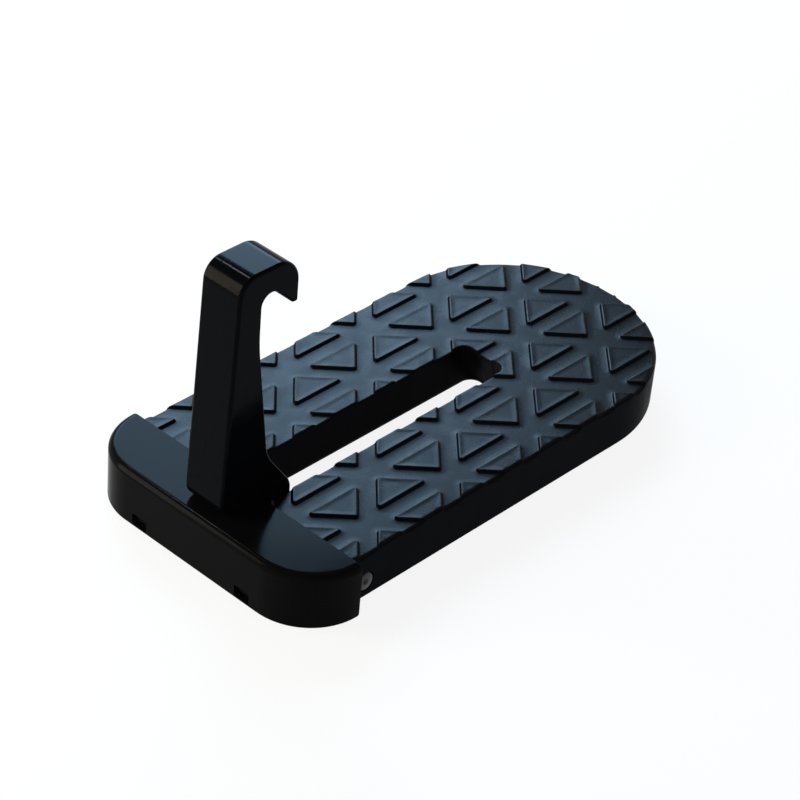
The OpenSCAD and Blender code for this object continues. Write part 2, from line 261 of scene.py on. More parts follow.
def rounded_outline(corners, radii, steps=8):
    """Points and outward normals of a closed anticlockwise outline with rounded corners.

    At a corner the outward normal turns from that of the edge before it to that of the edge after it.
    The arc's centre lies on the corner's bisector, at radius / cos(turn / 2), inside a convex corner
    and outside a concave one, and each point is the centre plus or minus radius times its normal. A
    rounding takes radius * tan(turn / 2) of both its edges, and two that would meet shrink to fit.
    """
    corner = np.asarray(corners, float)
    edge = np.roll(corner, -1, 0) - corner
    span = np.hypot(edge[:, 0], edge[:, 1])
    normal = np.stack([edge[:, 1], -edge[:, 0]], -1) / span[:, None]
    before = np.roll(normal, 1, 0)
    cross = before[:, 0] * normal[:, 1] - before[:, 1] * normal[:, 0]
    turn = np.arctan2(cross, (before * normal).sum(1))
    radius = np.broadcast_to(np.asarray(radii, float), len(corner))
    taken = radius * np.abs(np.tan(turn / 2))
    room = 0.999 * span / np.maximum(taken + np.roll(taken, -1), 1e-9)
    radius = (radius * np.minimum(1, np.minimum(room, np.roll(room, 1))))[:, None, None]
    turn = turn[:, None]
    side = np.sign(turn)[..., None]
    normals = rotated(before[:, None, :], turn * np.linspace(0, 1, steps + 1))
    bisector = rotated(before[:, None, :], turn / 2)
    centre = corner[:, None, :] - side * bisector * radius / np.cos(turn / 2)[..., None]
    points = centre + side * radius * normals
    return points.reshape(-1, 2), normals.reshape(-1, 2)


def arc(centre, radius, start, end, steps):
    """Points centre + radius (cos a, sin a) for a from start to end."""
    a = np.linspace(start, end, steps + 1)
    return np.array(centre) + radius * np.stack([np.cos(a), np.sin(a)], -1)


def edge_drop(radius, steps=6):
    """Knots of a rounded edge: distance in from the wall, and drop below the flat face.

    They lie on a quarter circle, at radius (1 - cos a) and radius (1 - sin a).
    """
    a = np.linspace(0, math.pi / 2, steps + 1)
    return radius * (1 - np.cos(a)), radius * (1 - np.sin(a))


def filleted(points, radii, steps=4):
    """An open polyline whose inner corners are replaced with tangent arcs."""
    p = np.asarray(points, float)
    before, after = p[:-2] - p[1:-1], p[2:] - p[1:-1]
    u = before / np.linalg.norm(before, axis=1, keepdims=True)
    v = after / np.linalg.norm(after, axis=1, keepdims=True)
    half = np.arccos((u * v).sum(1)) / 2
    radius = np.asarray(radii, float)
    middle = u + v
    middle /= np.linalg.norm(middle, axis=1, keepdims=True)
    centre = p[1:-1] + middle * (radius / np.sin(half))[:, None]
    spoke = p[1:-1] + u * (radius / np.tan(half))[:, None] - centre
    cross = u[:, 0] * v[:, 1] - u[:, 1] * v[:, 0]
    sweep = -np.sign(cross) * (math.pi - 2 * half)
    turned = rotated(spoke[:, None, :], sweep[:, None] * np.linspace(0, 1, steps + 1))
    arcs = centre[:, None, :] + turned
    return np.vstack([p[:1], arcs.reshape(-1, 2), p[-1:]])


# Meshes

def new_piece(name, vertices, faces, slot, body, node):
    """A mesh object at the origin, which replaces a node of the frame and rides on its body."""
    mesh = bpy.data.meshes.new(name)
    mesh.from_pydata(vertices, [], faces)
    mesh.validate()
    piece = bpy.data.objects.new(name, mesh)
    bpy.context.scene.collection.objects.link(piece)
    if node:
        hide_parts(node)
        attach(piece, body)
    return piece


def ring_faces(rings, around, start=0):
    """Quads between neighbouring closed rings of a grid of points."""
    i, j = np.meshgrid(np.arange(rings - 1), np.arange(around), indexing="ij")
    k = (j + 1) % around
    quads = np.stack([i * around + j, i * around + k, (i + 1) * around + k, (i + 1) * around + j], -1)
    return (quads.reshape(-1, 4) + start).tolist()


def prism(outline, profile, axis="z"):
    """Closed solid: the outline moved in by each inset of the profile, at that height.

    A point is outline - inset * normal, and the first and last rings are closed by flat caps. With
    axis "y" the outline lies in X and Z and the heights run along Y, and with axis "x" it lies in Y
    and Z and the heights run along X.
    """
    points, normals = outline
    profile = np.asarray(profile, float)
    rings = points[None] - profile[:, None, :1] * normals[None]
    height = np.broadcast_to(profile[:, None, 1], rings.shape[:2])
    u, v = rings[..., 0], rings[..., 1]
    grid = {"z": (u, v, height), "y": (u, -height, v), "x": (height, u, v)}[axis]
    around = len(points)
    vertices = np.stack(grid, -1).reshape(-1, 3)
    faces = ring_faces(len(profile), around)
    faces.append(list(range(around - 1, -1, -1)))
    faces.append(list(range((len(profile) - 1) * around, len(profile) * around)))
    return vertices, faces


def edge_profile(low, high, radius, steps=5):
    """Profile of a prism from low to high whose two rims are rounded."""
    inset, drop = edge_drop(radius, steps)
    up = np.stack([inset[::-1], low + drop[::-1]], -1)
    down = np.stack([inset, high - drop], -1)
    return np.vstack([up, down])


def lathe(profile, centre, ring=False, segments=96):
    """Closed surface of revolution about an axis along Y: (x0 + r cos a, y, z0 + r sin a).

    The profile's rows are radius and y, going from low to high y outside. Flat caps close its ends, or
    a ring's last row joins its first.
    """
    r, y = np.asarray(profile, float).T
    a = np.linspace(0, 2 * math.pi, segments, endpoint=False)
    grid = np.stack([
        centre[0] + r[:, None] * np.cos(a), np.broadcast_to(y[:, None], (len(r), segments)),
        centre[1] + r[:, None] * np.sin(a)
    ], -1)
    last = len(r) - 1
    faces = np.array(ring_faces(len(r) + ring, segments)) % (len(r) * segments)
    faces = faces[:, ::-1].tolist()
    if not ring:
        faces.append(list(range(segments)))
        faces.append(list(range((last + 1) * segments - 1, last * segments - 1, -1)))
    return grid.reshape(-1, 3), faces


def merged(*parts):
    """Several sets of vertices and faces as one."""
    vertices, faces, start = [], [], 0
    for points, polygons in parts:
        vertices.append(points)
        faces += [[start + i for i in polygon] for polygon in polygons]
        start += len(points)
    return np.vstack(vertices), faces


def slab(curves, inside, top, bottom):
    """Closed solid between two height functions over a region of the plan.

    The curves are triangulated together, so that every crease of the two functions runs along edges.
    Triangles whose middle is in the region carry a vertex at top(x, y) and one at bottom(x, y), and
    each edge on the region's border carries a vertical wall.
    """
    points, edges, start = [], [], 0
    for curve, closed in curves:
        n = len(curve)
        index = np.arange(n if closed else n - 1)
        points.append(curve)
        edges.append(np.stack([index, (index + 1) % n], -1) + start)
        start += n
    flat, _, triangles, _, _, _ = delaunay_2d_cdt(
        [Vector(p) for p in (np.vstack(points) / MM).tolist()], np.vstack(edges).tolist(), [], 0, 1e-4
    )
    xy = np.array([tuple(p) for p in flat]) * MM
    triangles = np.array(triangles)
    a, b, c = (xy[triangles[:, k]] for k in range(3))
    area = (b[:, 0] - a[:, 0]) * (c[:, 1] - a[:, 1]) - (b[:, 1] - a[:, 1]) * (c[:, 0] - a[:, 0])
    triangles = triangles[inside(*((a + b + c) / 3).T) & (np.abs(area) > 1e-14)]
    used, triangles = np.unique(triangles, return_inverse=True)
    triangles = triangles.reshape(-1, 3)
    xy = xy[used]
    sides = np.vstack([triangles[:, [0, 1]], triangles[:, [1, 2]], triangles[:, [2, 0]]])
    n = len(xy)
    code, reverse = sides[:, 0] * n + sides[:, 1], sides[:, 1] * n + sides[:, 0]
    border = sides[~np.isin(code, reverse)]
    walls = np.stack([border[:, 0] + n, border[:, 1] + n, border[:, 1], border[:, 0]], -1)
    x, y = xy.T
    vertices = np.vstack([np.stack([x, y, top(x, y)], -1), np.stack([x, y, bottom(x, y)], -1)])
    return vertices, triangles.tolist() + (triangles[:, ::-1] + n).tolist() + walls.tolist()


def finished(piece, material, smooth_angle=32):
    """Smooth shading up to an angle, with flat faces kept flat, and one material."""
    mesh = piece.data
    mesh.materials.clear()
    mesh.materials.append(material)
    mesh.shade_smooth()
    mesh.set_sharp_from_angle(angle=math.radians(smooth_angle))
    weighted = piece.modifiers.new("Flat faces stay flat", "WEIGHTED_NORMAL")
    weighted.keep_sharp = True
    weighted.weight = 60


def cut(piece, vertices, faces):
    """Takes a closed shape out of a piece for good."""
    cutter = new_piece("cutter", vertices, faces, None, None, None)
    boolean = piece.modifiers.new("Cut", "BOOLEAN")
    boolean.operation = "DIFFERENCE"
    boolean.solver = "EXACT"
    boolean.object = cutter
    depsgraph = bpy.context.evaluated_depsgraph_get()
    result = bpy.data.meshes.new_from_object(piece.evaluated_get(depsgraph))
    piece.modifiers.remove(boolean)
    old, name = piece.data, piece.data.name
    piece.data = result
    bpy.data.meshes.remove(old)
    result.name = name
    mesh = cutter.data
    bpy.data.objects.remove(cutter)
    bpy.data.meshes.remove(mesh)


# Pedal

def channel_floor(t):
    """Height of the tread's channels."""
    return PEDAL_BOX[1].z - t.relief


def island_profile(t):
    """Inset from a triangle's foot and height above the channel.

    The channel sweeps up a little to the foot, the side is filleted and rounded, and the top is a
    shallow dish. Sweep and dish bend into a slope of h / w with a radius of 0.9 w^2 / h, which takes
    0.45 w of the slope.
    """
    sweep_bend = 0.9 * t.sweep / t.rise * t.sweep
    dish_bend = 0.9 * t.dish / t.dip * t.dish
    low = t.relief - t.dip
    return filleted(
        [(-2 * t.sweep, 0), (-t.sweep, 0), (0, t.rise), (t.draft, t.relief), (t.draft + t.dish, low),
         (t.draft + 2 * t.dish, low)],
        [sweep_bend, t.foot_fillet, t.top_round, dish_bend]
    )[1:-1]


def island_inset(t, tip_x, x, y):
    """Distance in from the foot of the nearest raised triangle, negative in the channels.

    The lattice folds onto one cell: a is the distance from the cell's middle along X, and b the height
    above its base. The cell's sides are b = 0 and a + b = pitch. A triangle with round corners is all
    that lies within the corner radius of a smaller triangle with sharp ones.
    """
    pitch, root = t.pitch, math.sqrt(2)
    row = np.floor(np.abs(y) / pitch)
    v = np.abs(y) - row * pitch
    q = (x - tip_x + t.node_inset) / pitch - 1 + row
    a_up = np.abs(q - 2 * np.round(q / 2)) * pitch
    inset = []
    for a, b in ((a_up, v), (pitch - a_up, pitch - v)):
        base = b - t.channel / 2
        slant = (pitch - a - b) / root - t.channel / 2
        g = t.channel / 2 + t.corner
        a1 = pitch - g - root * g
        along = np.clip(((a1 - a) + (b - g)) / root, 0, a1 * root)
        from_base = np.hypot(a - np.clip(a, 0, a1), b - g)
        from_slant = np.hypot(a - a1 + along / root, b - g - along / root)
        core = (base >= t.corner) & (slant >= t.corner)
        inset.append(np.where(core, np.minimum(base, slant), t.corner - np.minimum(from_base, from_slant)))
    return np.maximum(*inset)


def divided_triangle(inset, pitch, parts=6):
    """The triangle this far inside one cell's sides, with its own sides divided evenly.

    Its base runs to pitch - inset (1 + sqrt 2) either way, and its peak is at pitch - inset sqrt 2.
    """
    reach = pitch - inset * (1 + math.sqrt(2))
    corners = np.array([(-reach, inset), (reach, inset), (0, pitch - inset * math.sqrt(2))])
    share = np.linspace(0, 1, parts, endpoint=False)[:, None]
    following = np.roll(corners, -1, 0)
    return (corners[:, None] * (1 - share) + following[:, None] * share).reshape(-1, 2)


def island_curves(t, p):
    """Creases of every raised triangle that reaches the pedal.

    They are rings up its side with spokes across them, and the sharp rings of its dish.
    """
    gap, pitch = t.channel / 2, t.pitch
    reach = pitch - gap * (1 + math.sqrt(2))
    points, normals = rounded_outline(
        [(-reach, gap), (reach, gap), (0, pitch - gap * math.sqrt(2))], t.corner, steps=4
    )
    inset = island_profile(t)[:, 0]
    round_inset, sharp_inset = inset[inset < t.corner], inset[inset >= t.corner]
    round_rings = points[None] - round_inset[:, None, None] * normals[None]
    sharp_rings = np.array([divided_triangle(gap + s, pitch) for s in sharp_inset])
    curves = []
    rows = math.ceil(p.half_width / pitch)
    columns = math.ceil((p.tip_x - p.front_x) / pitch)
    for row in range(rows):
        for column in range(-columns - 1, 2):
            x = p.tip_x - t.node_inset + (column + 1) * pitch
            if x + pitch < p.front_x or x - pitch > p.tip_x:
                continue
            up = (column + row) % 2 == 0
            for rings in (round_rings, sharp_rings):
                v = rings[..., 1] if up else pitch - rings[..., 1]
                for side in (1, -1):
                    placed = np.stack([rings[..., 0] + x, side * (row * pitch + v)], -1)
                    curves += [(ring, True) for ring in placed]
                    if rings is round_rings:
                        curves += [(spoke, False) for spoke in placed.transpose(1, 0, 2)]
    return curves


def pedal_deck(t, p):
    """The casting without its pockets: the plan, the tread and the rounded edges.

    The top is the channels' height plus the triangles' profile, less the drop of the rounded edges.
    """
    overrun = 5 * MM
    far = p.front_x - overrun
    middle = p.tip_x - p.half_width
    floor_z = channel_floor(t)
    rim, rim_drop = edge_drop(p.edge)
    lip, lip_drop = edge_drop(p.slot_top_edge, 4)
    flare, flare_drop = edge_drop(p.slot_flare)
    side_s, side_z = island_profile(t).T
    turn_x = p.slot_end_x - p.slot_corner
    turn_y = p.slot_half - p.slot_corner
    lean_start, lean_reach = 2 * MM, 20 * MM

    def from_rim(x, y):
        return np.where(x < middle, p.half_width - np.abs(y), p.half_width - np.hypot(x - middle, y))

    def from_slot(x, y):
        dx, dy = x - turn_x, np.abs(y) - turn_y
        return np.where((dx > 0) & (dy > 0), np.hypot(dx, dy), np.maximum(dx, dy)) - p.slot_corner

    def inside(x, y):
        return (x > p.front_x) & (from_rim(x, y) > 0) & (from_slot(x, y) > 0)

    def top(x, y):
        z = floor_z + np.interp(island_inset(t, p.tip_x, x, y), side_s, side_z)
        z = z - np.interp(from_rim(x, y), rim, rim_drop)
        return z - np.interp(from_slot(x, y), lip, lip_drop)

    def bottom(x, y):
        z = p.base_z + np.interp(from_rim(x, y), rim, rim_drop)
        return z + np.interp(from_slot(x, y), flare, flare_drop)

    def rim_curve(inset):
        r = p.half_width - inset
        return np.vstack([[(far, -r)], arc((middle, 0), r, -math.pi / 2, math.pi / 2, 72), [(far, r)]])

    def slot_curve(grow):
        r, h = p.slot_corner + grow, p.slot_half + grow
        return np.vstack([
            [(far, -h)], arc((turn_x, -turn_y), r, -math.pi / 2, 0, 12),
            arc((turn_x, turn_y), r, 0, math.pi / 2, 12), [(far, h)]
        ])

    curves = island_curves(t, p)
    curves += [(rim_curve(inset), True) for inset in rim]
    lean_rings = np.linspace(lean_start, lean_reach, 10)[1:]
    curves += [(slot_curve(grow), True) for grow in np.hstack([np.union1d(lip, flare), lean_rings])]
    curves.append((np.array([(p.front_x, -p.half_width - MM), (p.front_x, p.half_width + MM)]), False))
    vertices, faces = slab(curves, inside, top, bottom)
    # The slot's end leans out towards the underside, and the lean fades away from the slot
    x, y, z = vertices.T
    along = np.clip(x / p.slot_end_x, 0, 1)
    near = np.clip((lean_reach - from_slot(x, y)) / (lean_reach - lean_start), 0, 1)
    lean_top = floor_z - p.slot_top_edge
    depth = np.clip((lean_top - z) / (lean_top - p.base_z - p.slot_flare), 0, 1)
    vertices[:, 0] += p.slot_lean * along * near * depth
    return vertices, faces


def tangent_corner(centre, radius, start, end):
    """The point where the tangents at two angles of a circle meet."""
    half = (end - start) / 2
    reach = radius / math.cos(half)
    return centre[0] + reach * math.cos(start + half), centre[1] + reach * math.sin(start + half)


def pocket_outlines(p, pin_x):
    """Plan of each pocket on the +Y side: bays between the ribs, the slot's wall and the rim."""
    middle = p.tip_x - p.half_width
    start, end = pin_x + p.pocket_start, p.tip_x - p.rim_wall
    step = (end - start) / 5
    outer = p.half_width - p.rim_wall
    inner = p.slot_half + p.slot_wall
    rib, corner = p.rib / 2, p.pocket_corner
    low = [start] + [start + i * step + rib for i in range(1, 5)]
    high = [start + i * step - rib for i in range(1, 5)] + [end]
    outlines = [
        rounded_outline([(low[i], inner), (high[i], inner), (high[i], outer), (low[i], outer)], corner)
        for i in range(3)
    ]
    # The fourth bay wraps round the slot's end, and its outer wall starts to bend with the tip
    turn = p.slot_corner + p.slot_wall
    turn_x, turn_y = p.slot_end_x + p.slot_lean - p.slot_corner, p.slot_half - p.slot_corner
    slot_angle = math.acos(max(0.0, (low[3] - turn_x) / turn))
    rim_angle = math.acos((high[3] - middle) / outer)
    outlines.append(rounded_outline([
        (turn_x + turn, rib), (high[3], rib), (high[3], outer * math.sin(rim_angle)),
        tangent_corner((middle, 0), outer, rim_angle, math.pi / 2), (low[3], outer),
        (low[3], turn_y + turn * math.sin(slot_angle)),
        tangent_corner((turn_x, turn_y), turn, 0, slot_angle)
    ], [corner, corner, corner, outer, corner, corner, turn]))
    # The last bay is a slice of the round tip
    a0, a1 = math.asin(rib / outer), math.acos((low[4] - middle) / outer)
    outlines.append(rounded_outline([
        (low[4], rib), (middle + outer * math.cos(a0), rib),
        tangent_corner((middle, 0), outer, a0, a1), (low[4], outer * math.sin(a1))
    ], [corner, corner, outer, corner]))
    return outlines


def mirrored_outline(outline):
    """The same outline on the -Y side, still anticlockwise."""
    return tuple(array[::-1] * np.array([1, -1]) for array in outline)


def pocket_cutters(p, pin_x):
    """Prisms that leave the pockets: a bevel at the mouth, a little draft and a fillet at the skin."""
    ceiling = channel_floor(bpy.context.scene.latch_tread) - p.skin
    draft, fillet, bevel = 0.15 * MM, 0.5 * MM, 0.3 * MM
    profile = filleted(
        [(-bevel, p.base_z - MM), (-bevel, p.base_z), (0.0, p.base_z + bevel),
         (draft, ceiling), (draft + 2 * fillet, ceiling)],
        [0.01 * MM, 0.05 * MM, fillet]
    )[:-1]
    return [
        prism(side, profile)
        for outline in pocket_outlines(p, pin_x) for side in (outline, mirrored_outline(outline))
    ]


def tongue_parts(p, b):
    """The stepped end inside the bumper and its two lugs in the bumper's windows."""
    low = p.base_z + p.tongue_step
    high = channel_floor(bpy.context.scene.latch_tread) - p.tongue_step
    overlap = 0.5 * MM
    x0, x1 = BUMPER_BOX[0].x + b.wall + FIT, p.front_x + overlap
    y = p.half_width - FIT
    corner = b.corner - b.wall - FIT
    outline = rounded_outline([(x0, -y), (x1, -y), (x1, y), (x0, y)], [corner, 0, 0, corner], 16)
    parts = [prism(outline, edge_profile(low, high, 0.3 * MM))]
    lug_gap = 0.15 * MM
    width = b.window_width / 2 - lug_gap
    lug_top = b.window_base + b.window_height - lug_gap
    for side in (-1, 1):
        y = side * b.window_offset
        lug = rounded_outline(
            [(y - width, low), (y + width, low), (y + width, lug_top), (y - width, lug_top)], 0.3 * MM, 3
        )
        x = BUMPER_BOX[0].x + b.lug_recess
        parts.append(prism(lug, edge_profile(x, x0 + MM, 0.15 * MM), "x"))
    return parts


# Hook arm

def arm_outline(s, pin_x, pin_z, top_z, heel_z):
    """Side view of the arm in X and Z, anticlockwise seen from -Y: foot, toe, shank, mouth and heel."""
    tip_z = top_z - s.nose_drop
    inner_x = s.nose_reach - s.nose_tip
    shank_x = inner_x - s.mouth
    mouth_z = tip_z + s.mouth * math.tan(s.ramp)
    knee_z = top_z - s.knee_drop
    knuckle = s.knuckle - 0.02 * MM
    corners = [
        (-s.knuckle, -s.knuckle, knuckle), (s.knuckle, -s.knuckle, knuckle),
        (s.knuckle, s.toe_height, s.toe_round), (-s.flare_back, s.flare_height, s.flare_round),
        (shank_x, knee_z, s.knee_round), (shank_x, mouth_z, s.seat),
        (inner_x, tip_z, 0.45 * s.nose_tip), (s.nose_reach, tip_z, 0.45 * s.nose_tip),
        (s.nose_reach, top_z, s.nose_round), (-s.crown_back, top_z, s.crown_round),
        (-s.heel_back, heel_z, s.heel_round), (-s.knuckle, heel_z, 0.4 * MM),
    ]
    array = np.array(corners)
    points, normals = rounded_outline(array[:, :2], array[:, 2], 12)
    return points + (pin_x, pin_z), normals


# Finishes

def new_material(name):
    """An empty node material with its Principled shader and output."""
    material = bpy.data.materials.new(name)
    material.use_nodes = True
    nodes = material.node_tree.nodes
    return material, nodes, material.node_tree.links, nodes["Principled BSDF"]


def noise(nodes, links, scale, detail=2.0, roughness=0.5):
    """Noise over object coordinates, with its scale in features per metre."""
    coordinates = nodes.new("ShaderNodeTexCoord")
    texture = nodes.new("ShaderNodeTexNoise")
    texture.inputs["Scale"].default_value = scale
    texture.inputs["Detail"].default_value = detail
    texture.inputs["Roughness"].default_value = roughness
    links.new(coordinates.outputs["Object"], texture.inputs["Vector"])
    return texture.outputs["Fac"]


def ranged(nodes, links, value, low, high):
    """A factor spread over low to high."""
    ramp = nodes.new("ShaderNodeMapRange")
    ramp.inputs["From Min"].default_value = 0.3
    ramp.inputs["From Max"].default_value = 0.7
    ramp.inputs["To Min"].default_value = low
    ramp.inputs["To Max"].default_value = high
    links.new(value, ramp.inputs["Value"])
    return ramp.outputs["Result"]


def bumped(nodes, links, shader, height, strength, distance):
    """Relief on a shader's normal."""
    bump = nodes.new("ShaderNodeBump")
    bump.inputs["Strength"].default_value = strength
    bump.inputs["Distance"].default_value = distance
    links.new(height, bump.inputs["Height"])
    links.new(bump.outputs["Normal"], shader.inputs["Normal"])


def paint(name, rgb, gloss, roughness, grain, spread=0.05):
    """Black powder coat: a fine orange peel, and a sheen that varies a little in patches."""
    material, nodes, links, shader = new_material(name)
    shader.inputs["Base Color"].default_value = (*rgb, 1)
    shader.inputs["Specular IOR Level"].default_value = gloss
    patches = noise(nodes, links, scale=160, detail=3)
    sheen = ranged(nodes, links, patches, roughness - spread, roughness + spread)
    links.new(sheen, shader.inputs["Roughness"])
    peel = noise(nodes, links, scale=grain, detail=3, roughness=0.6)
    bumped(nodes, links, shader, peel, strength=0.12, distance=0.12 * MM)
    return material


def rubber(name, rgb):
    """Smooth moulded rubber with a soft gloss and a faint mould texture."""
    material, nodes, links, shader = new_material(name)
    shader.inputs["Base Color"].default_value = (*rgb, 1)
    shader.inputs["Specular IOR Level"].default_value = 0.016
    patches = noise(nodes, links, scale=90, detail=4)
    links.new(ranged(nodes, links, patches, 0.12, 0.18), shader.inputs["Roughness"])
    grain = noise(nodes, links, scale=1200, detail=2)
    bumped(nodes, links, shader, grain, strength=0.06, distance=0.08 * MM)
    return material


def turned_steel(name, rgb, centre):
    """Bare steel with fine turned rings about the pin's axis."""
    material, nodes, links, shader = new_material(name)
    shader.inputs["Base Color"].default_value = (*rgb, 1)
    shader.inputs["Metallic"].default_value = 1.0
    coordinates = nodes.new("ShaderNodeTexCoord")
    mapping = nodes.new("ShaderNodeMapping")
    mapping.inputs["Location"].default_value = (-centre[0], 0, -centre[1])
    links.new(coordinates.outputs["Object"], mapping.inputs["Vector"])
    wave = nodes.new("ShaderNodeTexWave")
    wave.wave_type = "RINGS"
    wave.rings_direction = "Y"
    wave.inputs["Scale"].default_value = 900
    wave.inputs["Distortion"].default_value = 0.6
    links.new(mapping.outputs["Vector"], wave.inputs["Vector"])
    links.new(ranged(nodes, links, wave.outputs["Fac"], 0.28, 0.4), shader.inputs["Roughness"])
    bumped(nodes, links, shader, wave.outputs["Fac"], strength=0.1, distance=0.05 * MM)
    return material


def nylon(name, rgb):
    """Dull dark nylon with a fine grain."""
    material, nodes, links, shader = new_material(name)
    shader.inputs["Base Color"].default_value = (*rgb, 1)
    shader.inputs["Roughness"].default_value = 0.55
    bumped(nodes, links, shader, noise(nodes, links, scale=2500), strength=0.1, distance=0.05 * MM)
    return material


def pale_floor(name, rgb, lift):
    """Plain pale floor that keeps its shadow, lifted part of the way to white where it is seen."""
    material, nodes, links, shader = new_material(name)
    shader.inputs["Base Color"].default_value = (*rgb, 1)
    shader.inputs["Roughness"].default_value = 1.0
    shader.inputs["Specular IOR Level"].default_value = 0.0
    path = nodes.new("ShaderNodeLightPath")
    seen = path.outputs["Is Camera Ray"]
    for kind in ("Is Glossy Ray", "Is Transmission Ray"):
        either = nodes.new("ShaderNodeMath")
        either.operation = "MAXIMUM"
        links.new(seen, either.inputs[0])
        links.new(path.outputs[kind], either.inputs[1])
        seen = either.outputs["Value"]
    share = nodes.new("ShaderNodeMath")
    share.operation = "MULTIPLY"
    share.inputs[1].default_value = lift
    links.new(seen, share.inputs[0])
    white = nodes.new("ShaderNodeEmission")
    mix = nodes.new("ShaderNodeMixShader")
    links.new(share.outputs["Value"], mix.inputs["Fac"])
    links.new(shader.outputs["BSDF"], mix.inputs[1])
    links.new(white.outputs["Emission"], mix.inputs[2])
    links.new(mix.outputs["Shader"], nodes["Material Output"].inputs["Surface"])
    return material


# Operators

def pin_axis():
    """X and Z of the pivot's axis."""
    low, high = PIN_BOX
    return (low.x + high.x) / 2, (low.z + high.z) / 2


def add_lamp(scene, name, where, width, height, radiance, rgb, roll=0.0):
    """A rectangular lamp that faces the object's middle; its energy is radiance * pi * area."""
    data = bpy.data.lights.new(name, "AREA")
    data.shape = "RECTANGLE"
    data.size, data.size_y = width, height
    data.color = rgb
    data.energy = radiance * math.pi * width * height
    lamp = bpy.data.objects.new(name, data)
    scene.collection.objects.link(lamp)
    lamp.location = where
    lamp.rotation_mode = "QUATERNION"
    aim = (-Vector(where)).to_track_quat("-Z", "Y")
    lamp.rotation_quaternion = aim @ Euler((0, 0, roll)).to_quaternion()
    lamp.visible_camera = False


class LATCH_OT_pedal(bpy.types.Operator):
    """Build the cast pedal with its tread, slot, pockets, tongue and pin bores"""
    bl_idname = "latch.pedal"
    bl_label = "Pedal"

    def execute(self, context):
        scene = context.scene
        t, p, b = scene.latch_tread, scene.latch_pedal, scene.latch_bumper
        pin_x, pin_z = pin_axis()
        piece = new_piece("pedal_casting", *pedal_deck(t, p), "pedal_paint", "pedal_body", "pedal")
        bore = (PIN_BOX[1].z - PIN_BOX[0].z) / 2 + 0.02 * MM
        y = p.half_width + MM
        cutters = pocket_cutters(p, pin_x)
        cutters.append(lathe([(bore, -y), (bore, y)], (pin_x, pin_z), segments=64))
        cut(piece, *merged(*cutters))
        vertices, faces = merged(*tongue_parts(p, b))
        tongue = new_piece("pedal_tongue", vertices, faces, "pedal_paint", "pedal_body", "pedal")
        black = scene.latch_finish.pedal_paint
        tread_coat = paint("tread powder coat", black, gloss=0.047, roughness=0.28, grain=1500)
        # A copy of the same black coat with far less gloss darkens the walls, slot and underside: painted
        # shade
        painted_shade_coat = paint("powder coat dulled for painted shade", black, gloss=0.006, roughness=0.4, grain=1500)
        finished(piece, tread_coat)
        finished(tongue, painted_shade_coat)
        self.give_walls_painted_shade(piece.data, painted_shade_coat, channel_floor(t) - p.edge / 2)
        return {"FINISHED"}

    @staticmethod
    def give_walls_painted_shade(mesh, painted_shade_coat, tread_z):
        """Give the dulled copy of the coat, which is painted shade, to all that is steep or lies below the
        tread.
        """
        mesh.materials.append(painted_shade_coat)
        count = len(mesh.polygons)
        normal, centre = np.empty(count * 3), np.empty(count * 3)
        mesh.polygons.foreach_get("normal", normal)
        mesh.polygons.foreach_get("center", centre)
        steep = 0.7
        # Steep faces and all that lies below the tread take the dulled copy: painted shade
        wall = (normal[2::3] < steep) | (centre[2::3] < tread_z)
        mesh.polygons.foreach_set("material_index", wall.astype(int))


class LATCH_OT_bumper(bpy.types.Operator):
    """Build the rubber bumper with its cavity and snap windows"""
    bl_idname = "latch.bumper"
    bl_label = "Bumper"

    def execute(self, context):
        scene = context.scene
        p, b = scene.latch_pedal, scene.latch_bumper
        low, high = BUMPER_BOX
        front, end, half, top_z = low.x, high.x, high.y, high.z
        far = end + 5 * MM
        shoulder, shoulder_drop = edge_drop(b.top_edge, 8)
        sole, sole_drop = edge_drop(b.sole_edge, 5)
        lip, lip_drop = edge_drop(b.mouth_edge, 3)
        turn_x, turn_y = front + b.corner, half - b.corner

        def from_side(x, y):
            dx, dy = turn_x - x, np.abs(y) - turn_y
            return b.corner - np.where((dx > 0) & (dy > 0), np.hypot(dx, dy), np.maximum(dx, dy))

        def top(x, y):
            z = top_z - np.interp(from_side(x, y), shoulder, shoulder_drop)
            return z - np.interp(end - x, lip, lip_drop)

        def bottom(x, y):
            z = np.interp(from_side(x, y), sole, sole_drop)
            return z + np.interp(end - x, lip, lip_drop)

        def inside(x, y):
            return (x < end) & (from_side(x, y) > 0)

        def side_curve(inset):
            r, h = b.corner - inset, half - inset
            return np.vstack([
                [(far, h)], arc((turn_x, turn_y), r, math.pi / 2, math.pi, 24),
                arc((turn_x, -turn_y), r, math.pi, 1.5 * math.pi, 24), [(far, -h)]
            ])

        curves = [(side_curve(inset), True) for inset in np.union1d(shoulder, sole)]
        curves += [(np.array([(end - x, -half - MM), (end - x, half + MM)]), False) for x in lip]
        piece = new_piece("bumper_rubber", *slab(curves, inside, top, bottom),
                          "bumper_rubber", "pedal_body", "bumper")
        cavity_low = p.base_z + p.tongue_step - FIT
        cavity_high = channel_floor(scene.latch_tread) - p.tongue_step + FIT
        x0, y0 = front + b.wall, p.half_width
        corner = b.corner - b.wall
        cavity = rounded_outline([(x0, -y0), (far, -y0), (far, y0), (x0, y0)], [corner, 0, 0, corner], 16)
        cutters = [prism(cavity, edge_profile(cavity_low, cavity_high, 0.25 * MM))]
        w, z0, z1 = b.window_width / 2, b.window_base, b.window_base + b.window_height
        for side in (-1, 1):
            y = side * b.window_offset
            window = rounded_outline([(y - w, z0), (y + w, z0), (y + w, z1), (y - w, z1)], 0.35 * MM, 4)
            cutters.append(prism(window, [(0, front - MM), (0, x0 + 0.5 * MM)], "x"))
        for cutter in cutters:
            cut(piece, *cutter)
        finished(piece, rubber("moulded rubber", scene.latch_finish.bumper_rubber))
        return {"FINISHED"}


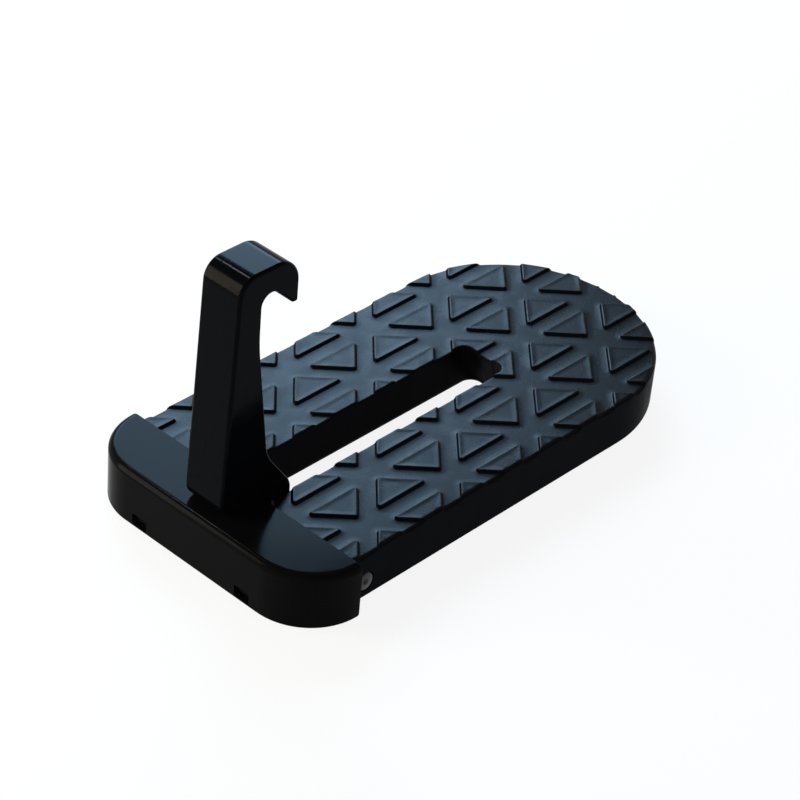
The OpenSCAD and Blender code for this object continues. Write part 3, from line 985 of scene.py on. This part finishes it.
class LATCH_OT_hook_arm(bpy.types.Operator):
    """Build the hook arm with its rounded edges and pin bore"""
    bl_idname = "latch.hook_arm"
    bl_label = "Hook arm"

    def execute(self, context):
        scene = context.scene
        s = scene.latch_arm
        pin_x, pin_z = pin_axis()
        low, high = ARM_BOX
        heel_z = BUMPER_BOX[1].z + 0.05 * MM - pin_z
        outline = arm_outline(s, pin_x, pin_z, high.z - pin_z, heel_z)
        solid = prism(outline, edge_profile(low.y, high.y, s.edge), "y")
        piece = new_piece("arm_casting", *solid, "arm_paint", "arm_body", "hook_arm")
        bore = (PIN_BOX[1].z - PIN_BOX[0].z) / 2 + 0.06 * MM
        y = high.y + MM
        cut(piece, *lathe([(bore, -y), (bore, y)], (pin_x, pin_z), segments=64))
        black = scene.latch_finish.arm_paint
        # The arm's colour is set darker than the pedal's as painted shade
        coat = paint("arm powder coat", black, gloss=0.02, roughness=0.14, grain=1100, spread=0.03)
        finished(piece, coat)
        return {"FINISHED"}


class LATCH_OT_pivot(bpy.types.Operator):
    """Build the pivot pin and the two friction washers"""
    bl_idname = "latch.pivot"
    bl_label = "Pivot"

    def execute(self, context):
        scene = context.scene
        axis = pin_axis()
        low, high = PIN_BOX
        r = (high.z - low.z) / 2
        ease = [(r - 0.5 * MM, low.y), (r - 0.45 * MM, low.y + 0.02 * MM),
                (r - 0.03 * MM, low.y + 0.45 * MM), (r, low.y + 0.55 * MM)]
        dimple = [(0.3 * MM, low.y + 0.6 * MM), (0.9 * MM, low.y)]
        half = dimple + ease
        profile = half + [(radius, -y) for radius, y in reversed(half)]
        pin = new_piece("steel_pin", *lathe(profile, axis), "pin_steel", "pedal_body", "pivot_pin")
        # The steel colour carries painted shade: it is far darker than bare steel
        finished(pin, turned_steel("steel darkened for painted shade", scene.latch_finish.pin_steel, axis))
        material = nylon("dark nylon", scene.latch_finish.washer_nylon)
        inner = r + 0.06 * MM
        for node in ("washer_left", "washer_right"):
            low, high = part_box(node)
            outer = (high.z - low.z) / 2
            e = 0.08 * MM
            ring = [(inner, low.y), (outer - e, low.y), (outer, low.y + e), (outer, high.y - e),
                    (outer - e, high.y), (inner, high.y)]
            solid = lathe(ring, axis, ring=True)
            washer = new_piece(node + "_nylon", *solid, "washer_nylon", "pedal_body", node)
            finished(washer, material)
        return {"FINISHED"}


class LATCH_OT_stage(bpy.types.Operator):
    """Set the pale floor, the soft lights and the camera"""
    bl_idname = "latch.stage"
    bl_label = "Floor, light and camera"

    def execute(self, context):
        scene = context.scene
        self.lay_floor(scene)
        self.set_lights(scene)
        self.set_camera(scene, scene.latch_stage)
        scene.view_settings.view_transform = "Standard"
        return {"FINISHED"}

    @staticmethod
    def lay_floor(scene):
        half = 3.0
        mesh = bpy.data.meshes.new("floor")
        corners = [(-half, -half, 0), (half, -half, 0), (half, half, 0), (-half, half, 0)]
        mesh.from_pydata(corners, [], [(0, 1, 2, 3)])
        floor = bpy.data.objects.new("floor", mesh)
        scene.collection.objects.link(floor)
        mesh.materials.append(pale_floor("pale floor", scene.latch_finish.floor, scene.latch_stage.lift))

    @staticmethod
    def set_lights(scene):
        s = scene.latch_stage
        world = bpy.data.worlds.new("soft studio")
        scene.world = world
        world.use_nodes = True
        nodes, links = world.node_tree.nodes, world.node_tree.links
        coordinates = nodes.new("ShaderNodeTexCoord")
        height = nodes.new("ShaderNodeSeparateXYZ")
        links.new(coordinates.outputs["Generated"], height.inputs["Vector"])
        sky = nodes.new("ShaderNodeMapRange")
        sky.inputs["From Min"].default_value = 0.1
        sky.inputs["From Max"].default_value = 0.75
        sky.inputs["To Min"].default_value = s.fill_low
        sky.inputs["To Max"].default_value = s.fill_high
        links.new(height.outputs["Z"], sky.inputs["Value"])
        links.new(sky.outputs["Result"], nodes["Background"].inputs["Strength"])
        nodes["Background"].inputs["Color"].default_value = (1, 1, 1, 1)
        add_lamp(scene, "softbox", s.box_place, s.box_width, s.box_height, s.box_radiance, s.box_colour,
                 s.box_roll)
        add_lamp(scene, "warm strip", s.strip_place, s.strip_width, s.strip_height, s.strip_radiance,
                 s.strip_colour)
        add_lamp(scene, "glint", s.glint_place, s.glint_size, s.glint_size, s.glint_radiance,
                 s.glint_colour)

    @staticmethod
    def set_camera(scene, s):
        direction = Vector((
            math.sin(s.azimuth) * math.cos(s.elevation),
            math.cos(s.azimuth) * math.cos(s.elevation),
            -math.sin(s.elevation)
        ))
        data = bpy.data.cameras.new("camera")
        data.lens = s.lens
        camera = bpy.data.objects.new("camera", data)
        scene.collection.objects.link(camera)
        camera.location = Vector(s.target) - direction * s.distance
        level = direction.to_track_quat("-Z", "Y")
        camera.rotation_mode = "QUATERNION"
        camera.rotation_quaternion = level @ Euler((0, 0, -s.roll)).to_quaternion()
        scene.camera = camera


class LATCH_PT_panel(bpy.types.Panel):
    """The pieces of the step and their sizes"""
    bl_idname = "LATCH_PT_panel"
    bl_label = "Latch step"
    bl_space_type = "VIEW_3D"
    bl_region_type = "UI"
    bl_category = "Latch step"

    def draw(self, context):
        for operator in OPERATORS:
            self.layout.operator(operator.bl_idname)
        for group, kind in GROUPS.items():
            box = self.layout.box()
            box.label(text=kind.bl_rna.description)
            for name in kind.__annotations__:
                box.prop(getattr(context.scene, group), name)


OPERATORS = (LATCH_OT_stage, LATCH_OT_pedal, LATCH_OT_bumper, LATCH_OT_hook_arm, LATCH_OT_pivot)


def register():
    for cls in (*GROUPS.values(), *OPERATORS, LATCH_PT_panel):
        bpy.utils.register_class(cls)
    for name, cls in GROUPS.items():
        setattr(bpy.types.Scene, name, bpy.props.PointerProperty(type=cls))


def unregister():
    for name in GROUPS:
        delattr(bpy.types.Scene, name)
    for cls in reversed((*GROUPS.values(), *OPERATORS, LATCH_PT_panel)):
        bpy.utils.unregister_class(cls)


def main():
    register()
    bpy.ops.latch.stage()
    bpy.ops.latch.pedal()
    bpy.ops.latch.bumper()
    bpy.ops.latch.hook_arm()
    bpy.ops.latch.pivot()


if __name__ == "__main__":
    main()
